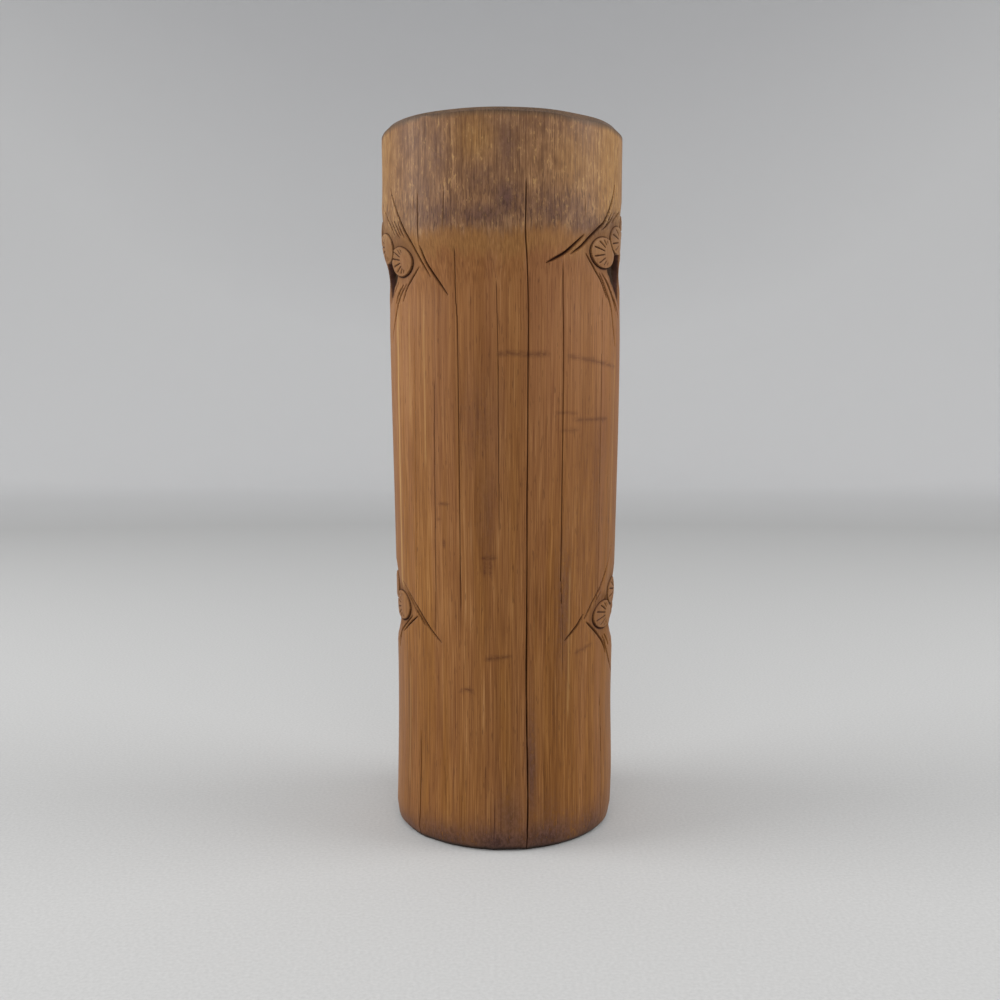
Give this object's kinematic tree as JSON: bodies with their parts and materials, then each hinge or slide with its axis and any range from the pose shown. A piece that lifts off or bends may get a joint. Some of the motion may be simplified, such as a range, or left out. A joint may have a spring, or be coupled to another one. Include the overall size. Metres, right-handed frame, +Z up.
{
  "type": "bamboo vase",
  "caption": "Tall cylindrical vase cut from one bamboo culm, carved with pine sprigs at the nodes, closed by a wooden base disc, with a lift-out copper water liner.",
  "frame": {"origin": "middle of the footprint, on the plane that the vase stands on", "axes": "+Z up the culm, -Y the front with the longest drying crack, the carved flanks at +X and -X"},
  "size_m": [0.1192, 0.1192, 0.345],
  "materials": {
    "bamboo": "shaved culm, warm brown with a worn satin surface, dark in the carved cuts",
    "base_wood": "plain sawn softwood, darkened with age",
    "copper": "dull brown copper sheet",
    "solder": "grey tin solder"
  },
  "bodies": {
    "vase": {"culm_wall": "bamboo", "base_disc": "base_wood"},
    "liner": {"liner_tube": "copper", "liner_bottom": "copper", "liner_rim_wire": "copper", "liner_solder": "solder"}
  },
  "joints": [
    {"name": "liner_lift", "type": "slide", "parent": "vase", "child": "liner", "axis": [0, 0, 1], "range_m": [0, 0.34]}
  ]
}
